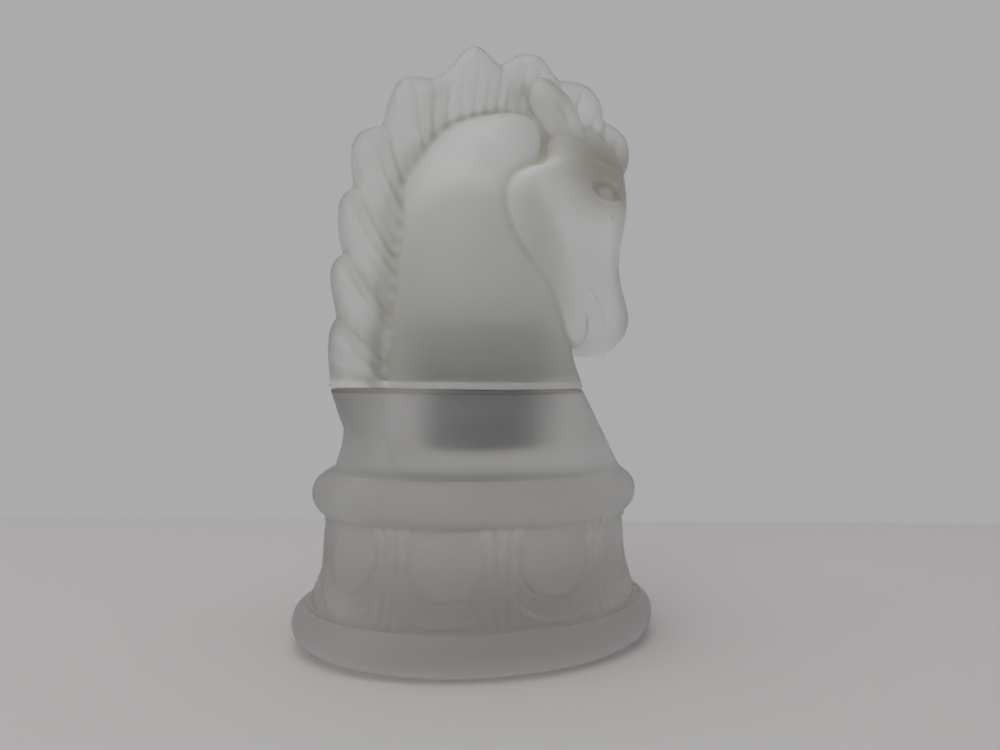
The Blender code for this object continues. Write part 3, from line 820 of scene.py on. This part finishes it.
def soft_solid(name, light, dark, roughness, grain_scale, bump_height, subsurface=0.0):
    """A matt solid with cloudy colour and a fine surface grain."""
    material = bpy.data.materials.new(name)
    material.use_nodes = True
    nodes, links = material.node_tree.nodes, material.node_tree.links
    shader = nodes["Principled BSDF"]
    shader.inputs["Roughness"].default_value = roughness
    shader.inputs["Subsurface Weight"].default_value = subsurface
    shader.inputs["Subsurface Radius"].default_value = (0.9, 0.7, 0.5)
    shader.inputs["Subsurface Scale"].default_value = 4 * MM
    place = nodes.new("ShaderNodeTexCoord")
    cloud = nodes.new("ShaderNodeTexNoise")
    cloud.inputs["Scale"].default_value = grain_scale
    cloud.inputs["Detail"].default_value = 5
    links.new(place.outputs["Object"], cloud.inputs["Vector"])
    colour = nodes.new("ShaderNodeMix")
    colour.data_type = "RGBA"
    colour.inputs["A"].default_value = (*dark, 1)
    colour.inputs["B"].default_value = (*light, 1)
    links.new(cloud.outputs["Fac"], colour.inputs["Factor"])
    links.new(colour.outputs["Result"], shader.inputs["Base Color"])
    bump = nodes.new("ShaderNodeBump")
    bump.inputs["Strength"].default_value = 0.3
    bump.inputs["Distance"].default_value = bump_height * MM
    links.new(cloud.outputs["Fac"], bump.inputs["Height"])
    links.new(bump.outputs["Normal"], shader.inputs["Normal"])
    return material


paraffin = soft_solid(
    "candle_paraffin", light=(0.86, 0.83, 0.76), dark=(0.78, 0.74, 0.66),
    roughness=0.35, grain_scale=220, bump_height=0.15, subsurface=0.4,
)
hand_over(wax, paraffin, "candle", "wax", "candle_wax")


# Wick: three cotton yarns twisted together. It is held by the foot's collar, and trimmed a
# little above the cup's lip.
WICK_TOP = 38.2
YARN_RADIUS, YARN_OFFSET, YARN_PITCH, YARN_TURNS = 0.43, 0.44, 5.0, 9
yarns = []
for number in range(3):
    bpy.ops.mesh.primitive_circle_add(vertices=12, radius=YARN_RADIUS * MM, fill_type="NOTHING")
    yarn = bpy.context.object
    yarn.rotation_euler.x = math.pi / 2
    yarn.location.x = YARN_OFFSET * MM
    bpy.ops.object.transform_apply(location=True, rotation=True, scale=True)
    finish_with(
        yarn, "SCREW", axis="Z", angle=2 * math.pi, screw_offset=YARN_PITCH * MM,
        iterations=YARN_TURNS, steps=16, render_steps=16,
    )
    yarn.rotation_euler.z = number * 2 * math.pi / 3
    yarn.location.z = (CANDLE_FOOT - 2) * MM
    bpy.ops.object.transform_apply(location=True, rotation=True, scale=True)
    bpy.ops.object.mode_set(mode="EDIT")
    for end, outward in ((foot_floor + 0.02, -1), (WICK_TOP - 0.1, 1)):
        bpy.ops.mesh.select_all(action="SELECT")
        bpy.ops.mesh.bisect(
            plane_co=(0, 0, (CANDLE_FOOT + end) * MM), plane_no=(0, 0, outward),
            clear_outer=True, use_fill=True,
        )
    bpy.ops.mesh.select_all(action="SELECT")
    bpy.ops.mesh.normals_make_consistent(inside=False)
    bpy.ops.object.mode_set(mode="OBJECT")
    yarns.append(yarn)
wick = join("candle_wick_twisted", yarns)
smooth_by_angle(wick)
cotton = soft_solid(
    "wick_cotton", light=(0.80, 0.77, 0.69), dark=(0.62, 0.58, 0.50),
    roughness=0.9, grain_scale=3000, bump_height=0.1,
)
hand_over(wick, cotton, "candle", "wick_cotton", "candle_wick")


# The stage, which is no part of the light: a plain pale floor that ends a little way behind it,
# a grey surround, one soft lamp above and one in front on the left, and the camera.
FLOOR_REACH, FLOOR_BACK = 3.0, 0.193
VIEW_TURN = math.radians(-24)
bpy.ops.mesh.primitive_plane_add(size=2)
floor = bpy.context.object
floor.scale = (FLOOR_REACH, (FLOOR_REACH + FLOOR_BACK) / 2, 1)
bpy.ops.object.transform_apply(location=False, rotation=False, scale=True)
floor.location = (0, (FLOOR_BACK - FLOOR_REACH) / 2, 0)
bpy.ops.object.transform_apply(location=True, rotation=False, scale=False)
floor.rotation_euler.z = VIEW_TURN
bpy.ops.object.transform_apply(location=False, rotation=True, scale=False)
floor.name = "floor"
paint = bpy.data.materials.new("floor_paint")
paint.use_nodes = True
paint_shader = paint.node_tree.nodes["Principled BSDF"]
paint_shader.inputs["Base Color"].default_value = (0.60, 0.59, 0.575, 1)
paint_shader.inputs["Roughness"].default_value = 0.7
floor.data.materials.append(paint)

world = bpy.data.worlds.new("studio")
world.use_nodes = True
world.node_tree.nodes["Background"].inputs["Color"].default_value = (0.41, 0.405, 0.415, 1)
bpy.context.scene.world = world

LIGHT_MIDDLE = (0, 0, 0.09)


def soft_lamp(name, place, size, watts):
    """A square soft box aimed at the middle of the object."""
    light = bpy.data.lights.new(name, "AREA")
    light.size = size
    light.energy = watts
    lamp = bpy.data.objects.new(name, light)
    bpy.context.collection.objects.link(lamp)
    lamp.location = place
    aim = Vector(LIGHT_MIDDLE) - Vector(place)
    lamp.rotation_euler = aim.to_track_quat("-Z", "Y").to_euler()


soft_lamp("overhead", place=(-0.2, -0.1, 1.1), size=1.1, watts=4)
soft_lamp("left_front", place=(-0.9, -0.7, 0.7), size=0.7, watts=2)

view = bpy.data.cameras.new("camera")
view.lens = 32.4
view.sensor_width = 36
view.shift_y = -0.011
view.clip_start = 0.01
camera = bpy.data.objects.new("camera", view)
camera.location = (-0.10397, -0.24925, 0.0802)
camera.rotation_euler = (math.radians(90), math.radians(-0.46), VIEW_TURN)
bpy.context.collection.objects.link(camera)
bpy.context.scene.camera = camera
bpy.context.scene.view_settings.view_transform = "Standard"
